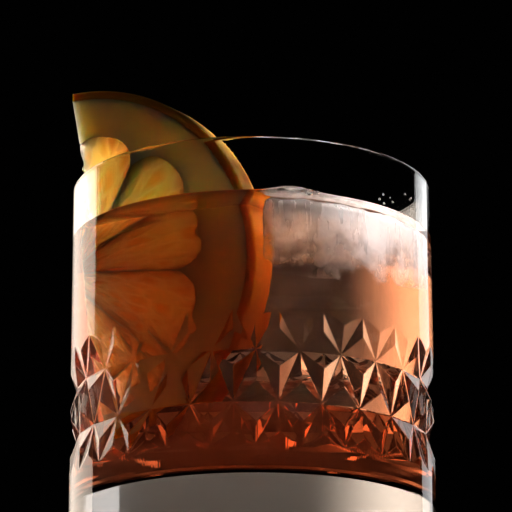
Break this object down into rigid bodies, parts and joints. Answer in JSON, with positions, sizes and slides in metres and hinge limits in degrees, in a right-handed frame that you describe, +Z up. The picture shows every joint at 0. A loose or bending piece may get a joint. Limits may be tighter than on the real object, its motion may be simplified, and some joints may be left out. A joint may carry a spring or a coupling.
{
  "type": "negroni cocktail in a cut glass tumbler",
  "caption": "Amber-red cocktail in a short cut glass tumbler, with a large clear ice block and not quite half a wheel of orange standing above the rim.",
  "frame": {"origin": "centre of the underside of the tumbler, on the surface it stands on", "axes": "+Z up along the tumbler's axis, -Y towards the viewer, +X to the viewer's right"},
  "size_m": [0.0841, 0.084, 0.1122],
  "materials": {
    "glass": "clear pressed crystal, polished, with sharp facets in the cut band",
    "drink": "clear mauve-brown to peach liquid, glossy surface",
    "ice": "clear ice with a frosted top and melted edges, wet",
    "orange": "wet translucent orange flesh, pale pith and dimpled deep orange peel"
  },
  "bodies": {
    "root": {"glass": "glass", "drink": "drink", "ice_block": "ice", "orange_slice": "orange"}
  },
  "joints": []
}
